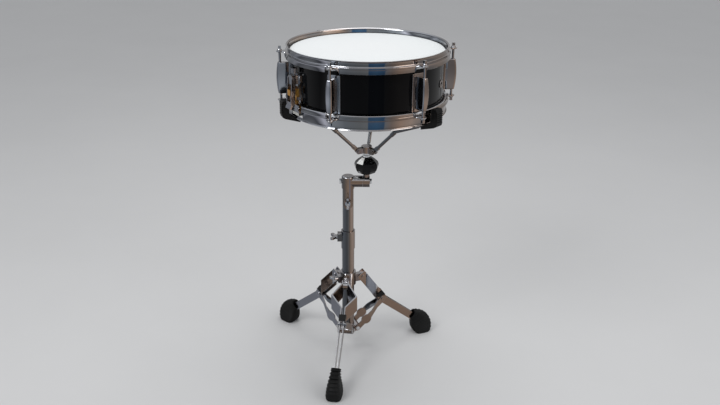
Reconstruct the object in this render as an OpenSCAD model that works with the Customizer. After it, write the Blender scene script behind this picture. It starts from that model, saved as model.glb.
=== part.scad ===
// Snare drum on a double-braced tripod stand with a three-armed basket.
// Millimetres, +Z up. The origin is the centre of the batter head's playing surface.
// The stand's column stands beside the drum axis, towards -X. The front leg points to -Y.
// Azimuths are measured around +Z from -Y, positive towards +X.

/* [Drum] */
// Outside diameter of the shell
shell_d = 355.6; // [350:0.1:360]
// Height of the shell between its bearing edges
shell_h = 127; // [118:1:140]
// Wall thickness of the shell
shell_t = 7; // [6:0.5:8]
// Height of each hoop's lip above its head
hoop_rise = 11.5; // [10:0.5:14]
// Azimuth of the first lug
lug_azimuth = -23; // [-26:1:-20]
// Azimuth of the throw-off, with the butt plate opposite
throwoff_azimuth = -58; // [-60:1:-56]
// Azimuth of the air vent
vent_azimuth = 67; // [60:1:75]
// Number of snare wires
wire_count = 20; // [16:2:20]

/* [Stand] */
// Height of the playing surface above the floor
head_height = 810; // [800:1:860]
// Sideways distance from the column to the drum axis
column_offset = 45; // [42:1:50]
// Outside diameter of the lower tube
lower_tube_d = 31.4; // [31:0.1:32]
// Outside diameter of the upper tube
upper_tube_d = 28; // [27.6:0.1:28]
// Azimuth of the front leg
leg_azimuth = -7.6; // [-12:0.1:0]
// Azimuth of the first basket arm
arm_azimuth = -70; // [-71:1:-69]

/* [Legs] */
// Height of the leg pivots on the sliding collar
leg_top_z = 210; // [208:1:214]
// Distance of the leg pivots from the column axis
leg_top_r = 40; // [39:0.5:42]
// Height of the knees
knee_z = 131; // [129:1:133]
// Distance of the knees from the column axis
knee_r = 96; // [94:1:98]
// Length of a rubber foot along the floor
foot_length = 44; // [40:1:48]
// Width of a rubber foot
foot_width = 42; // [38:1:46]

/* [Hidden] */
$fn = 64;

// Gap between two parts that are bolted together
gap = 0.1;
// Radial clearance where one part turns or slides in another
run = 0.05;
// Thread and screw sizes
screw_r = 2.4;
screw_hole_r = 2.6;

// Drum, measured from the drum axis and the playing surface
shell_r = shell_d / 2;
film_t = 0.4;
shell_top = -film_t;
drum_depth = shell_h + 2 * film_t;
drum_mid = -drum_depth / 2;
edge_r = shell_r - 1.6;
film_r = shell_r + 1.1;
film_drop = 9;
flesh_in = film_r + gap;
flesh_out = shell_r + 7;
flesh_top = -4.6;
flesh_h = 7.2;
sheet_t = 2.2;
wall_in = shell_r + 3.4;
wall_out = wall_in + sheet_t;
lip_out = shell_r + 8.4;
skirt_out = shell_r + 10.6;
ridge_out = skirt_out + 1;
shelf_top = -2.3;
shelf_bottom = shelf_top - sheet_t;
skirt_bottom = -17;
snare_collar = 9.3;
snare_skirt_bottom = -23.4;
lug_count = 6;
rod_circle_r = shell_r + 22.2;
rod_r = 2.85;
rod_hole_r = 3.3;
ear_gap_angle = 9.8;
washer_t = 1;

// Lugs, measured from their own middle
lug_plate_w = 30;
lug_plate_h = 84.5;
lug_plate_t = 3;
lug_body_w = 15.2;
lug_body_h = 72;
lug_end_depth = 28;
lug_mid_depth = 31.5;
lug_end_w = 11.4;
nut_r = 4.2;
nut_length = 14;
nut_start = 16;
lug_screw_z = 26;

// Throw-off and butt plate, as depth from the shell and height from the playing surface
snare_plane = -drum_depth;
bracket_top = -36;
bracket_bottom = -104.5;
bracket_screw_x = 12;
throwoff_screw_z = [-44, -98];
butt_screw_z = -84;
jaw_top = -104;
jaw_bottom = -121;
jaw_r = shell_r + 7.5;
strap_r = jaw_r + 1.55;
strap_t = 0.5;
strap_w = 28;
strap_z = snare_plane - 0.9;
lever_pivot_depth = 17;
lever_pivot_z = -46;
pivot_pin_r = 2.5;
gate_angle = 15;

// Stand, measured from the column axis and the floor
lower_r = lower_tube_d / 2;
tube_wall = 1.2;
upper_r = upper_tube_d / 2;
lower_top = 335;
lower_bottom = 76;
upper_top = 474;
clamp_bottom = 300;
clamp_top = 349;
leg_azimuths = [leg_azimuth, leg_azimuth + 120, leg_azimuth + 240];
hub_pivot_r = 20;
hub_pivot_z = 64;
plug_top = hub_pivot_z + 23;
upper_bottom = plug_top + gap;
rivet_r = 3;
rail_t = 2.2;
link_h = 24;
outer_h = 20;
brace_h = 15;
outer_slope = 40;
outer_length = 150;
foot_r0 = 194;
collar_bottom = 196;
collar_top = 232;
wing_azimuth = leg_azimuth - 60;

// Tilter and basket, measured from the drum axis and the floor
tilt_z = 482;
barrel_r = 14.5;
barrel_split = -9;
basket_rod_r = 4.7;
arm_azimuths = [arm_azimuth, arm_azimuth + 120, arm_azimuth + 240];
arm_pivot_r = 22;
arm_pivot_z = 563.5;
lip_z = head_height - drum_depth - hoop_rise;
arm_rod_r = 4.2;
grip_rod_r = 2.6;
grip_w = 22;
grip_r = ridge_out + 1;

// ---------------------------------------------------------------- helpers

// A bar with round ends between two points of a plane
module bar2d(a, b, w) {
  d = b - a;
  translate(a)
    rotate(atan2(d[1], d[0]))
      translate([0, -w / 2])
        square([norm(d), w]);
  translate(a) circle(d = 1.02 * w);
  translate(b) circle(d = 1.02 * w);
}

// Unit vector, and the vector to its left
function unit(v) = v / norm(v);
function left_of(v) = [-v[1], v[0]];

// The point beside corner i of a line, at distance d on the mitre
function mitre(points, i, d) =
  let (
    last = len(points) - 1,
    before = unit(points[max(i, 1)] - points[max(i, 1) - 1]),
    after = unit(points[min(i, last - 1) + 1] - points[min(i, last - 1)]),
    bisector = unit(left_of(before) + left_of(after))
  )
  points[i] + bisector * d / (bisector * left_of(before));

// A strip of width w along a line, with mitred corners and square ends
module strip(points, w) {
  last = len(points) - 1;
  polygon(concat(
    [for (i = [0:last]) mitre(points, i, w / 2)],
    [for (i = [last:-1:0]) mitre(points, i, -w / 2)]
  ));
}

// A rectangle with rounded corners
module rounded_rect(w, h, r) {
  square([w - 2 * r, h], center = true);
  square([w, h - 2 * r], center = true);
  for (x = [-1, 1], y = [-1, 1])
    translate([x * (w / 2 - r), y * (h / 2 - r)]) circle(r);
}

// A ring around Z
module ring(r_in, r_out, z0, z1) {
  rotate_extrude()
    translate([r_in, z0])
      square([r_out - r_in, z1 - z0]);
}

// A round rod between two points
module rod(a, b, r) {
  d = b - a;
  translate(a)
    rotate([0, acos(d[2] / norm(d)), atan2(d[1], d[0])])
      cylinder(r = r, h = norm(d));
}

// A point of radius and height, placed at -Y
function at_front(p) = [0, -p[0], p[1]];

// A bent round rod, as points of radius and height in the plane of an azimuth
module bent_rod(points, r) {
  for (i = [0:len(points) - 2]) {
    rod(at_front(points[i]), at_front(points[i + 1]), r);
    translate(at_front(points[i + 1])) sphere(1.02 * r);
  }
}

// Turns a piece drawn at -Y to an azimuth
module at(azimuth) {
  rotate([0, 0, azimuth]) children();
}

// Extrudes a profile of radius and height sideways, centred on the plane of an azimuth
module side_plate(t) {
  rotate([90, 0, -90]) linear_extrude(height = t, center = true) children();
}

// Extrudes an outline of width and height outwards, from radius r0 to r1
module front_plate(r0, r1) {
  translate([0, -r0, 0]) rotate([90, 0, 0]) linear_extrude(height = r1 - r0) children();
}

// A block at -Y, from radius r0 to r1
module block(w, r0, r1, z0, z1) {
  translate([-w / 2, -r1, z0]) cube([w, r1 - r0, z1 - z0]);
}

// A round bar along the radius at -Y
module radial_bar(r, r0, r1, x = 0, z = 0) {
  translate([x, -r0, z]) rotate([90, 0, 0]) cylinder(r = r, h = r1 - r0);
}

// A round bar across the plane of an azimuth
module cross_bar(r, length, radius, z) {
  translate([0, -radius, z]) rotate([0, 90, 0]) cylinder(r = r, h = length, center = true);
}

// The space that the shell takes, for the backs of castings
module shell_space() {
  translate([0, 0, snare_plane - 20]) cylinder(r = shell_r + gap, h = drum_depth + 40);
}

// Turns a batter-side piece into its snare-side partner
module snare_side() {
  translate([0, 0, snare_plane]) mirror([0, 0, 1]) children();
}

// Places a stand piece drawn around the column with the floor at zero
module stand() {
  translate([-column_offset, 0, -head_height]) children();
}

// Places a basket piece drawn around the drum axis with the floor at zero
module basket() {
  translate([0, 0, -head_height]) children();
}

// ---------------------------------------------------------------- shell and heads

module shell() {
  color([0.03, 0.03, 0.035])
    difference() {
      rotate_extrude()
        polygon([
          [shell_r - shell_t, -drum_depth + film_t + shell_t],
          [edge_r - 0.8, -drum_depth + film_t],
          [edge_r, -drum_depth + film_t],
          [shell_r, -drum_depth + film_t + 2.6],
          [shell_r, shell_top - 2.6],
          [edge_r, shell_top],
          [edge_r - 0.8, shell_top],
          [shell_r - shell_t, shell_top - shell_t]
        ]);
      for (i = [0:lug_count - 1], z = [-lug_screw_z, lug_screw_z])
        at(lug_azimuth + 360 * i / lug_count)
          radial_bar(screw_hole_r, shell_r - 12, shell_r + 5, z = drum_mid + z);
      for (x = [-bracket_screw_x, bracket_screw_x]) {
        at(throwoff_azimuth)
          for (z = throwoff_screw_z) radial_bar(screw_hole_r, shell_r - 12, shell_r + 5, x, z);
        at(throwoff_azimuth + 180)
          radial_bar(screw_hole_r, shell_r - 12, shell_r + 5, x, butt_screw_z);
      }
      at(vent_azimuth) radial_bar(6, shell_r - 12, shell_r + 5, z = drum_mid);
    }
}

module vent_grommet() {
  color("silver")
    at(vent_azimuth)
      difference() {
        union() {
          radial_bar(5.9, shell_r - shell_t - 1.4, shell_r + 1.6, z = drum_mid);
          radial_bar(9, shell_r + 0.4, shell_r + 1.9, z = drum_mid);
          radial_bar(8.5, shell_r - shell_t - 1.8, shell_r - shell_t - 0.4, z = drum_mid);
        }
        radial_bar(4.4, shell_r - 20, shell_r + 5, z = drum_mid);
      }
}

// A drumhead's film: a disc that turns down over the bearing edge. The snare side's
// collar is deeper by an extra height.
module head_film(extra = 0) {
  bottom = -film_drop - extra;
  rotate_extrude()
    polygon([
      [0, 0], [edge_r, 0], [film_r, -2.4], [film_r, bottom],
      [film_r - film_t, bottom], [film_r - film_t, -2.6],
      [edge_r + 0.1, -film_t], [0, -film_t]
    ]);
}

module batter_head() {
  color([0.95, 0.97, 0.96]) head_film();
}

module resonant_head() {
  color([0.9, 0.92, 0.93]) snare_side() head_film(snare_collar);
}

module flesh_hoop(extra = 0) {
  top = flesh_top - extra;
  ring(flesh_in, flesh_out, top - flesh_h, top);
}

module batter_flesh_hoop() {
  color("silver") flesh_hoop();
}

module resonant_flesh_hoop() {
  color("silver") snare_side() flesh_hoop(snare_collar);
}

// ---------------------------------------------------------------- hoops

// The pressed section of a triple-flanged hoop: lip, wall, ridge and skirt
module hoop_section(extra, skirt) {
  edge = 0.6;
  inner = skirt_out - sheet_t;
  lip_bottom = hoop_rise - sheet_t;
  low = shelf_bottom - extra;
  high = shelf_top - extra;
  polygon([
    [wall_in, low], [inner, low],
    [inner, skirt + edge], [inner + edge, skirt],
    [skirt_out - edge, skirt], [skirt_out, skirt + edge],
    [skirt_out, low], [ridge_out, low + edge],
    [ridge_out, high - edge], [ridge_out - edge, high], [wall_out, high],
    [wall_out, lip_bottom], [lip_out - edge, lip_bottom], [lip_out, lip_bottom + edge],
    [lip_out, hoop_rise - edge], [lip_out - edge, hoop_rise],
    [wall_in + edge, hoop_rise], [wall_in, hoop_rise - edge]
  ]);
}

// A wedge of space around an azimuth, outside a radius
module sector(azimuth, angle, r_in, z0, z1) {
  reach = 260;
  half = reach * tan(angle / 2);
  at(azimuth)
    difference() {
      translate([0, 0, z0])
        linear_extrude(height = z1 - z0)
          polygon([[0, 0], [-half, -reach], [half, -reach]]);
      translate([0, 0, z0 - 1]) cylinder(r = r_in, h = z1 - z0 + 2);
    }
}

// A flat ear that takes one tension rod
module hoop_ear(extra) {
  root = wall_out + 1;
  step = 0.1;
  translate([0, 0, shelf_bottom + step - extra])
    linear_extrude(height = sheet_t - 2 * step)
      difference() {
        union() {
          polygon([
            [-16, -root], [16, -root], [14, -skirt_out], [7, -rod_circle_r - 1],
            [-7, -rod_circle_r - 1], [-14, -skirt_out]
          ]);
          translate([0, -rod_circle_r]) circle(9);
        }
        translate([0, -rod_circle_r]) circle(rod_hole_r);
      }
}

// A hoop whose shelf and ears lie lower by an extra height, with its skirt's bottom edge
module hoop(extra, skirt) {
  difference() {
    rotate_extrude() hoop_section(extra, skirt);
    for (i = [0:lug_count - 1])
      sector(lug_azimuth + 360 * i / lug_count, ear_gap_angle,
             skirt_out - sheet_t - 0.2, skirt - 1, shelf_bottom - extra - 0.3);
  }
  for (i = [0:lug_count - 1]) at(lug_azimuth + 360 * i / lug_count) hoop_ear(extra);
}

module batter_hoop() {
  color([0.75, 0.77, 0.8]) hoop(0, skirt_bottom);
}

// The lower hoop has gates in its wall and skirt where the straps come out
module snare_side_hoop() {
  color([0.75, 0.77, 0.8])
    snare_side()
      difference() {
        hoop(snare_collar, snare_skirt_bottom);
        for (a = [0, 180])
          sector(throwoff_azimuth + a, gate_angle, flesh_out - 4, snare_skirt_bottom - 1, 5);
      }
}

// ---------------------------------------------------------------- lugs and rods

// Radius of the arc with a given half chord and rise
function arc_radius(half, rise) = (half * half + rise * rise) / (2 * rise);

// Front outline of a lug body: a slender lens with cut ends
module lug_front() {
  arc = arc_radius(lug_body_h / 2, (lug_body_w - lug_end_w) / 2);
  intersection() {
    translate([arc - lug_body_w / 2, 0]) circle(arc, $fn = 360);
    translate([lug_body_w / 2 - arc, 0]) circle(arc, $fn = 360);
    square([lug_body_w, lug_body_h], center = true);
  }
}

// Side outline of a lug body: bowed away from the shell
module lug_side() {
  arc = arc_radius(lug_body_h / 2, lug_mid_depth - lug_end_depth);
  intersection() {
    translate([shell_r + lug_mid_depth - arc, 0]) circle(arc, $fn = 360);
    translate([shell_r + 1, -lug_body_h / 2]) square([lug_mid_depth, lug_body_h]);
  }
}

module lug_casing() {
  difference() {
    union() {
      front_plate(shell_r, shell_r + lug_plate_t) rounded_rect(lug_plate_w, lug_plate_h, 2.5);
      intersection() {
        front_plate(shell_r + 1, shell_r + lug_mid_depth + 1) lug_front();
        side_plate(lug_plate_w) lug_side();
      }
    }
    for (s = [0, 1])
      mirror([0, 0, s])
        translate([0, -rod_circle_r, nut_start - 0.2]) cylinder(r = nut_r + 0.2, h = 60);
    for (z = [-lug_screw_z, lug_screw_z])
      radial_bar(screw_hole_r, shell_r - 5, shell_r + 11.5, z = z);
  }
}

module lug_casings() {
  color([0.72, 0.74, 0.78])
    for (i = [0:lug_count - 1])
      at(lug_azimuth + 360 * i / lug_count)
        difference() {
          translate([0, 0, drum_mid]) lug_casing();
          shell_space();
        }
}

module lug_swivel_nuts() {
  color("goldenrod")
    for (i = [0:lug_count - 1], s = [0, 1])
      at(lug_azimuth + 360 * i / lug_count)
        translate([0, -rod_circle_r, drum_mid])
          mirror([0, 0, s])
            difference() {
              translate([0, 0, nut_start]) cylinder(r = nut_r, h = nut_length);
              translate([0, 0, nut_start - 1]) cylinder(r = rod_r + gap, h = nut_length + 2);
            }
}

// A screw from inside the shell, up to a depth in the casting. Its washer's outer edge
// meets the curved inner wall.
module shell_screw(x, z, depth) {
  washer_r = 6;
  wall = shell_r - shell_t;
  reach = abs(x) + washer_r;
  inner = sqrt(wall * wall - reach * reach);
  radial_bar(screw_r, inner - 2, shell_r + depth, x, z);
  radial_bar(4.5, inner - 3.7, inner - 1.1, x, z);
  difference() {
    radial_bar(washer_r, inner - 1, inner - gap, x, z);
    radial_bar(screw_hole_r, inner - 2, inner + 1, x, z);
  }
}

module lug_screws() {
  color("silver")
    for (i = [0:lug_count - 1], z = [-lug_screw_z, lug_screw_z])
      at(lug_azimuth + 360 * i / lug_count) shell_screw(0, drum_mid + z, 11);
}

// A square-headed tension rod, drawn for the batter side
module tension_rod(extra = 0) {
  seat = shelf_top - extra + gap + washer_t;
  translate([0, -rod_circle_r, 0]) {
    translate([0, 0, drum_mid + nut_start]) cylinder(r = rod_r, h = seat + 0.5 - drum_mid - nut_start);
    translate([0, 0, seat + 0.05]) cylinder(r = 5.2, h = 2);
    translate([0, 0, seat + 2]) cylinder(r1 = 4.4, r2 = 3.6, h = 1.5);
    translate([-3.1, -3.1, seat + 3]) cube([6.2, 6.2, 7]);
  }
}

module tension_rods() {
  color([0.8, 0.82, 0.85])
    for (i = [0:lug_count - 1])
      at(lug_azimuth + 360 * i / lug_count) {
        tension_rod();
        snare_side() tension_rod(snare_collar);
      }
}

module rod_washer(extra = 0) {
  translate([0, -rod_circle_r, shelf_top - extra + 0.05])
    difference() {
      cylinder(r = 6.6, h = washer_t);
      translate([0, 0, -1]) cylinder(r = rod_r + 0.15, h = washer_t + 2);
    }
}

module rod_washers() {
  color("silver")
    for (i = [0:lug_count - 1])
      at(lug_azimuth + 360 * i / lug_count) {
        rod_washer();
        snare_side() rod_washer(snare_collar);
      }
}

// ---------------------------------------------------------------- throw-off and butt plate

// The throw-off's base: an hourglass
module throwoff_outline() {
  mid = (bracket_top + bracket_bottom) / 2;
  waist = 21;
  scoop = 26;
  translate([0, mid])
    difference() {
      rounded_rect(34, bracket_top - bracket_bottom, 4);
      for (s = [-1, 1]) translate([s * (waist / 2 + scoop), 0]) circle(scoop);
    }
}

module throwoff_frame() {
  color([0.75, 0.77, 0.8])
    at(throwoff_azimuth)
      difference() {
        union() {
          front_plate(shell_r, shell_r + 5) throwoff_outline();
          block(15, shell_r + 4, shell_r + 20.5, -58, -38);
          for (s = [-1, 1])
            translate([s * 8.4, 0, 0]) block(4, shell_r + 4, shell_r + 9, -93, -87);
          cross_bar(pivot_pin_r, 25, shell_r + lever_pivot_depth, lever_pivot_z);
        }
        shell_space();
        block(12.4, shell_r + 1.5, shell_r + 9.5, -114, -64);
        translate([0, -shell_r - 10.5, -53]) cylinder(r = pivot_pin_r + run, h = 20);
        for (x = [-bracket_screw_x, bracket_screw_x], z = throwoff_screw_z)
          radial_bar(screw_hole_r, shell_r - 5, shell_r + 6, x, z);
      }
}

// The lever is a fork whose arms pass each side of the pivot block
module throwoff_lever() {
  pivot = [shell_r + lever_pivot_depth, lever_pivot_z];
  tip = [shell_r + 21, -100];
  color([0.8, 0.81, 0.84])
    at(throwoff_azimuth)
      difference() {
        union() {
          for (s = [-1, 1])
            translate([s * 9.6, 0, 0]) side_plate(2.6) bar2d(pivot, tip, 10);
          block(21.8, shell_r + 17, shell_r + 25, -106, -97);
          side_plate(21.8) bar2d([shell_r + 22, -101.5], [shell_r + 27, -111], 4);
        }
        cross_bar(pivot_pin_r + run, 30, pivot[0], pivot[1]);
      }
}

// The inner jaw that holds a strap's back
module inner_jaw() {
  difference() {
    block(40, jaw_r, jaw_r + 1.2, jaw_bottom, jaw_top);
    for (s = [-1, 1])
      radial_bar(2.2, jaw_r - 1, jaw_r + 3, s * 17, (jaw_top + jaw_bottom) / 2);
  }
}

// The clamping plate of a strap, with its two screws
module outer_jaw() {
  mid = (jaw_top + jaw_bottom) / 2;
  difference() {
    block(40, jaw_r + 1.9, jaw_r + 4.4, jaw_bottom, jaw_top);
    for (s = [-1, 1]) radial_bar(2.2, jaw_r, jaw_r + 6, s * 17, mid);
  }
  for (s = [-1, 1]) {
    radial_bar(2, jaw_r + 0.1, jaw_r + 5, s * 17, mid);
    radial_bar(3.6, jaw_r + 4.5, jaw_r + 7, s * 17, mid);
  }
}

// The slide carries the inner jaw and rises between the lever's arms
module throwoff_slide() {
  color([0.62, 0.4, 0.12])
    at(throwoff_azimuth) {
      block(12, shell_r + 1.9, jaw_r + 0.6, -102, -69);
      block(12, jaw_r + 0.1, jaw_r + 1.1, jaw_top - 5, -95);
      block(13, jaw_r, shell_r + 25, -83, -70);
      inner_jaw();
    }
}

module throwoff_jaw() {
  color([0.75, 0.77, 0.8]) at(throwoff_azimuth) outer_jaw();
}

module tension_knob() {
  color([0.8, 0.81, 0.84])
    at(throwoff_azimuth)
      translate([0, -shell_r - 10.5, 0]) {
        translate([0, 0, -52]) cylinder(r = pivot_pin_r, h = 20);
        difference() {
          translate([0, 0, -34]) cylinder(r = 7.5, h = 11);
          for (a = [0:30:330])
            rotate(a) translate([8.3, 0, -35]) cylinder(r = 1.5, h = 13);
        }
      }
}

module butt_plate() {
  color([0.75, 0.77, 0.8])
    at(throwoff_azimuth + 180) {
      difference() {
        union() {
          front_plate(shell_r, shell_r + 5)
            translate([0, bracket_bottom + 14]) rounded_rect(36, 28, 4);
          block(20, shell_r + 4, jaw_r + 0.6, bracket_bottom + 0.5, -97);
          block(20, jaw_r + 0.1, jaw_r + 1.1, -110, -96);
        }
        shell_space();
        for (x = [-bracket_screw_x, bracket_screw_x])
          radial_bar(screw_hole_r, shell_r - 5, shell_r + 6, x, butt_screw_z);
      }
      inner_jaw();
    }
}

module butt_jaw() {
  color([0.75, 0.77, 0.8]) at(throwoff_azimuth + 180) outer_jaw();
}

// A bracket's screw, with its head outside the bracket and its nut inside the shell
module bracket_screw(x, z) {
  shell_screw(x, z, 5);
  radial_bar(4.1, shell_r + 5.1, shell_r + 6.9, x, z);
  radial_bar(screw_r, shell_r + 4, shell_r + 6, x, z);
}

module bracket_screws() {
  color("silver")
    for (x = [-bracket_screw_x, bracket_screw_x]) {
      at(throwoff_azimuth)
        for (z = throwoff_screw_z) bracket_screw(x, z);
      at(throwoff_azimuth + 180) bracket_screw(x, butt_screw_z);
    }
}

// ---------------------------------------------------------------- snares

module snare_wires() {
  pitch = 1.95;
  color([0.7, 0.7, 0.72])
    at(throwoff_azimuth)
      for (i = [0:wire_count - 1])
        radial_bar(0.9, -156, 156, (i - (wire_count - 1) / 2) * pitch, snare_plane - 1);
}

module snare_end_plates() {
  color("silver")
    for (a = [0, 180])
      at(throwoff_azimuth + a) block(42, 148, 163, snare_plane - 3.2, snare_plane - 2);
}

module snare_straps() {
  color([0.92, 0.92, 0.9])
    for (a = [0, 180])
      at(throwoff_azimuth + a) {
        block(strap_w, 157.5, strap_r + strap_t / 2, strap_z - strap_t / 2, strap_z + strap_t / 2);
        block(strap_w, strap_r - strap_t / 2, strap_r + strap_t / 2, strap_z, jaw_top - 2);
      }
}

// ---------------------------------------------------------------- column

module lower_tube() {
  color([0.7, 0.72, 0.75]) stand() ring(lower_r - tube_wall, lower_r, lower_bottom, lower_top);
}

// The upper tube stands on the base hub's plug when the stand is at its lowest
module upper_tube() {
  color([0.72, 0.74, 0.77]) stand() ring(upper_r - tube_wall, upper_r, upper_bottom, upper_top);
}

module height_bushing() {
  color([0.1, 0.1, 0.1])
    stand() {
      ring(upper_r + run, lower_r - tube_wall - gap, clamp_bottom, lower_top + 1);
      ring(upper_r + run, lower_r, lower_top + gap, lower_top + 2.5);
    }
}

module height_clamp() {
  color([0.7, 0.72, 0.75])
    stand()
      difference() {
        union() {
          translate([0, 0, clamp_bottom]) cylinder(r = 17.6, h = clamp_top - clamp_bottom);
          at(-90) block(17, 0, 27, 320, 341);
        }
        translate([0, 0, clamp_bottom - 1])
          cylinder(r = lower_r + run, h = lower_top + 4 - clamp_bottom);
        translate([0, 0, clamp_bottom]) cylinder(r = upper_r + 0.5, h = 80);
        at(-90) radial_bar(3.5 + run, 10, 40, z = 330);
        at(-90) block(2.4, 5, 30, 333.6, 360);
      }
}

// A wing bolt along the radius, its wings in the plane of its axis
module wing_bolt(tip, seat) {
  radial_bar(3.5, tip, seat + 4);
  radial_bar(6.5, seat, seat + 9);
  translate([0, 0, -2.6])
    linear_extrude(height = 5.2)
      for (s = [-1, 1]) bar2d([s * 4, -seat - 6], [s * 12, -seat - 13], 8.6);
}

module height_wing_bolt() {
  color([0.8, 0.81, 0.84])
    stand() translate([0, 0, 330]) at(-90) wing_bolt(lower_r + 0.3, 27.3);
}

// ---------------------------------------------------------------- legs

leg_top = [leg_top_r, leg_top_z];
knee = [knee_r, knee_z];
brace_foot = [hub_pivot_r, hub_pivot_z];
link_dir = unit(knee - leg_top);
link_up = left_of(link_dir);
brace_dir = unit(knee - brace_foot);
outer_dir = [cos(outer_slope), -sin(outer_slope)];
leg_end = knee + outer_length * outer_dir;

// Half gaps between a leg's two rails, from the collar through the bow and knee to the foot
rail_plan = [
  [7.4, leg_top_r - 15], [7.4, leg_top_r + 7], [31.5, (leg_top_r + knee_r) / 2 - 3],
  [5, knee_r - 14], [5, knee_r + 16], [3.4, leg_end[0] + 10]
];
// The same for a brace, from the base hub to the knee
brace_plan = [[17.6, 5], [17.6, 60], [7.5, 80], [7.5, knee_r + 12]];

// Two mirrored strips that follow a plan of half gaps and radii
module strip_pair(plan, t) {
  for (s = [-1, 1]) strip([for (p = plan) [s * p[0], -p[1]]], t);
}

// Side outline of a leg: an upper link, then a flatter outer part
module leg_outline(grow = 0) {
  strip([leg_top - (link_h / 2 + grow) * link_dir, knee], link_h + 2 * grow);
  strip([knee, leg_end + grow * outer_dir], outer_h + 2 * grow);
  translate(knee) circle(link_h / 2 + 0.6 + grow);
}

module leg_rails(grow = 0) {
  intersection() {
    side_plate(90) leg_outline(grow);
    linear_extrude(height = leg_top_z + 60) strip_pair(rail_plan, rail_t + 2 * grow);
  }
}

// A leg's pair of rails with the rivet heads of its top pivot
module leg(i) {
  color([0.72, 0.73, 0.76])
    stand()
      at(leg_azimuths[i]) {
        difference() {
          leg_rails();
          cross_bar(rivet_r + run, 40, knee_r, knee_z);
        }
        for (s = [-1, 1])
          translate([s * 9.5, 0, 0]) cross_bar(5.5, 2.4, leg_top_r, leg_top_z);
      }
}

module front_leg() { leg(0); }
module right_leg() { leg(1); }
module left_leg() { leg(2); }

// Side outline of a knee cap: a wedge across the link's lower end
module cap_outline() {
  middle = knee - 20 * link_dir;
  polygon([
    middle - 3 * link_dir + 13.5 * link_up, middle + 14 * link_dir + 13.5 * link_up,
    middle + 3 * link_dir - 13.2 * link_up, middle - 3 * link_dir - 13.2 * link_up
  ]);
}

module knee_cap(i) {
  color([0.05, 0.05, 0.05])
    stand()
      at(leg_azimuths[i])
        difference() {
          side_plate(17) cap_outline();
          leg_rails(gap);
        }
}

module front_knee_cap() { knee_cap(0); }
module right_knee_cap() { knee_cap(1); }
module left_knee_cap() { knee_cap(2); }

// A boot: domed away from the column, tapered upwards, flat on the floor
module boot_space() {
  toe = foot_r0 + foot_length;
  intersection() {
    side_plate(foot_width) {
      intersection() {
        translate([foot_r0, 18]) circle(52);
        polygon([
          [foot_r0 + 1, 0], [toe + 20, 0], [toe + 20, 80], [foot_r0 + 9, 76],
          [foot_r0 - 17, 51], [foot_r0 - 12, 28]
        ]);
      }
    }
    front_plate(foot_r0 - 30, foot_r0 + 60)
      polygon([
        [-foot_width / 2, 0], [foot_width / 2, 0], [foot_width / 2, 20], [13, 76],
        [-13, 76], [-foot_width / 2, 20]
      ]);
    linear_extrude(height = 90) {
      translate([0, -toe + 21]) circle(26);
      translate([-foot_width / 2, -toe + 20]) square([foot_width, 60]);
    }
  }
}

module foot(i) {
  color([0.04, 0.04, 0.04])
    stand()
      at(leg_azimuths[i])
        difference() {
          boot_space();
          leg_rails(gap);
        }
}

module front_foot() { foot(0); }
module right_foot() { foot(1); }
module left_foot() { foot(2); }

// A brace: two rails that pass each side of the tube, and the knee's rivet
module brace(i) {
  color([0.6, 0.6, 0.62])
    stand()
      at(leg_azimuths[i]) {
        difference() {
          intersection() {
            side_plate(60) {
              bar2d(brace_foot, knee, brace_h);
              translate(brace_foot + 33 * brace_dir) circle(14);
              translate(knee) circle(8.5);
            }
            linear_extrude(height = leg_top_z) strip_pair(brace_plan, 2);
          }
          cross_bar(rivet_r + run, 50, hub_pivot_r, hub_pivot_z);
          cross_bar(rivet_r + run, 40, knee_r, knee_z);
        }
        cross_bar(rivet_r, 18, knee_r, knee_z);
        for (s = [-1, 1]) translate([s * 9.7, 0, 0]) cross_bar(5, 2, knee_r, knee_z);
      }
}

module front_brace() { brace(0); }
module right_brace() { brace(1); }
module left_brace() { brace(2); }

module base_hub() {
  color([0.7, 0.72, 0.75])
    stand()
      difference() {
        union() {
          for (a = leg_azimuths)
            at(a) side_plate(32.8) bar2d([0, hub_pivot_z], brace_foot, 19);
          translate([0, 0, hub_pivot_z])
            cylinder(r = lower_r - tube_wall - gap, h = plug_top - hub_pivot_z);
          translate([0, 0, hub_pivot_z - 15]) cylinder(r = 8, h = 15);
        }
        for (a = leg_azimuths) at(a) cross_bar(rivet_r + gap, 60, hub_pivot_r, hub_pivot_z);
      }
}

module base_hub_pins() {
  color("silver")
    stand()
      for (a = leg_azimuths)
        at(a) {
          cross_bar(rivet_r, 38, hub_pivot_r, hub_pivot_z);
          for (s = [-1, 1])
            translate([s * 19.7, 0, 0]) cross_bar(5, 2, hub_pivot_r, hub_pivot_z);
        }
}

// The collar slides on the lower tube and carries the ears of the three legs
module leg_collar() {
  color([0.75, 0.77, 0.8])
    stand()
      difference() {
        union() {
          translate([0, 0, collar_bottom]) cylinder(r = 20, h = collar_top - collar_bottom);
          for (a = leg_azimuths)
            at(a) side_plate(12) bar2d([17, leg_top_z], leg_top, 21);
          at(wing_azimuth) block(16, 12, 29, 205, 223);
        }
        translate([0, 0, collar_bottom - 1]) cylinder(r = lower_r + run, h = 60);
        at(wing_azimuth) radial_bar(3.5 + run, 10, 40, z = 214);
      }
}

module leg_collar_wing_bolt() {
  color([0.85, 0.86, 0.88])
    stand() translate([0, 0, 214]) at(wing_azimuth) wing_bolt(lower_r + 0.4, 29.3);
}

// ---------------------------------------------------------------- tilter

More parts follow.
